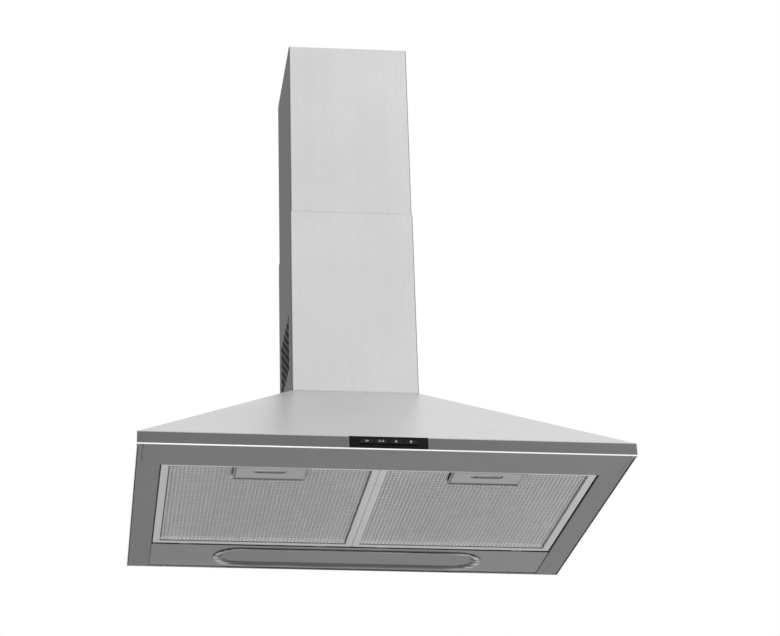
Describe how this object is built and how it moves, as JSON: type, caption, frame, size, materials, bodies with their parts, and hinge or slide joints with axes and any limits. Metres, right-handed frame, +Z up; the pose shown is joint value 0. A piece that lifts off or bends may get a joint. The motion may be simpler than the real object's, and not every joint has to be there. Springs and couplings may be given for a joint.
{
  "type": "chimney range hood",
  "caption": "Wall-mounted pyramid range hood with a telescopic chimney, two swing-down grease filters, a lamp strip and push keys.",
  "frame": {"origin": "on the wall plane, at the middle of the hood's width and the level of its underside", "axes": "+X to the hood's right seen from the front, +Y into the wall, +Z up"},
  "size_m": [0.6, 0.475, 0.729],
  "materials": {
    "stainless_steel": "brushed",
    "galvanised_sheet": "galvanised",
    "filter_aluminium": "satin",
    "frosted_lens": "frosted",
    "bulb_glass": "frosted",
    "pale_plastic": "moulded",
    "black_plastic": "moulded",
    "blower_plastic": "moulded",
    "motor_steel": "satin",
    "bright_steel": "bright",
    "rubber": "moulded"
  },
  "bodies": {
    "hood": {"canopy_shell": "stainless_steel", "back_panel": "galvanised_sheet", "front_fascia": "stainless_steel", "left_side_rail": "stainless_steel", "right_side_rail": "stainless_steel", "rear_light_panel": "stainless_steel", "lamp_lens": "frosted_lens", "lamp_housing": "galvanised_sheet", "left_lamp_holder": "pale_plastic", "right_lamp_holder": "pale_plastic", "left_bulb": "bulb_glass", "right_bulb": "bulb_glass", "control_panel": "black_plastic", "switch_block": "pale_plastic", "left_blower_housing": "blower_plastic", "right_blower_housing": "blower_plastic", "motor_bracket": "galvanised_sheet", "motor_grommets": "rubber", "motor_body": "motor_steel", "outlet_spigot": "blower_plastic", "blower_screws": "bright_steel", "lower_chimney": "stainless_steel", "chimney_clips": "galvanised_sheet", "clip_screws": "bright_steel", "terminal_box": "pale_plastic", "terminal_box_lid": "pale_plastic", "lid_screws": "bright_steel", "capacitor": "pale_plastic", "capacitor_clamp": "galvanised_sheet", "cable_gland": "black_plastic", "gland_nut": "black_plastic"},
    "upper_chimney": {"upper_chimney": "stainless_steel", "upper_bracket": "galvanised_sheet"},
    "left_filter": {"left_filter_frame": "filter_aluminium", "left_filter_mesh": "filter_aluminium"},
    "right_filter": {"right_filter_frame": "filter_aluminium", "right_filter_mesh": "filter_aluminium"},
    "left_latch": {"left_filter_latch": "filter_aluminium"},
    "right_latch": {"right_filter_latch": "filter_aluminium"},
    "fan": {"impeller": "blower_plastic", "motor_shaft": "bright_steel"},
    "front_flap": {"front_flap": "black_plastic"},
    "rear_flap": {"rear_flap": "black_plastic"},
    "lamp_button": {"lamp_button": "black_plastic"},
    "speed_one_button": {"speed_one_button": "black_plastic"},
    "speed_two_button": {"speed_two_button": "black_plastic"},
    "speed_three_button": {"speed_three_button": "black_plastic"}
  },
  "joints": [
    {"name": "chimney_telescope", "type": "slide", "parent": "hood", "child": "upper_chimney", "axis": [0, 0, 1], "range_m": [-0.18, 0.03]},
    {"name": "fan_spin", "type": "hinge", "parent": "hood", "child": "fan", "pos_m": [0, -0.131, 0.0985], "axis": [1, 0, 0], "continuous": true},
    {"name": "front_flap_swing", "type": "hinge", "parent": "hood", "child": "front_flap", "pos_m": [0, -0.0935, 0.2174], "axis": [-1, 0, 0], "range_deg": [0, 80]},
    {"name": "rear_flap_swing", "type": "hinge", "parent": "hood", "child": "rear_flap", "pos_m": [0, -0.0865, 0.2174], "axis": [1, 0, 0], "range_deg": [0, 80]},
    {"name": "left_filter_swing", "type": "hinge", "parent": "hood", "child": "left_filter", "pos_m": [0, -0.0965, 0.0029], "axis": [1, 0, 0], "range_deg": [0, 70]},
    {"name": "left_latch_slide", "type": "slide", "parent": "left_filter", "child": "left_latch", "axis": [0, 1, 0], "range_m": [0, 0.006], "stiffness_N_per_m": 200},
    {"name": "right_filter_swing", "type": "hinge", "parent": "hood", "child": "right_filter", "pos_m": [0, -0.0965, 0.0029], "axis": [1, 0, 0], "range_deg": [0, 70]},
    {"name": "right_latch_slide", "type": "slide", "parent": "right_filter", "child": "right_latch", "axis": [0, 1, 0], "range_m": [0, 0.006], "stiffness_N_per_m": 200},
    {"name": "lamp_press", "type": "slide", "parent": "hood", "child": "lamp_button", "axis": [0, 1, 0], "range_m": [0, 0.0025], "stiffness_N_per_m": 300},
    {"name": "speed_one_press", "type": "slide", "parent": "hood", "child": "speed_one_button", "axis": [0, 1, 0], "range_m": [0, 0.0025], "stiffness_N_per_m": 300},
    {"name": "speed_two_press", "type": "slide", "parent": "hood", "child": "speed_two_button", "axis": [0, 1, 0], "range_m": [0, 0.0025], "stiffness_N_per_m": 300},
    {"name": "speed_three_press", "type": "slide", "parent": "hood", "child": "speed_three_button", "axis": [0, 1, 0], "range_m": [0, 0.0025], "stiffness_N_per_m": 300}
  ]
}
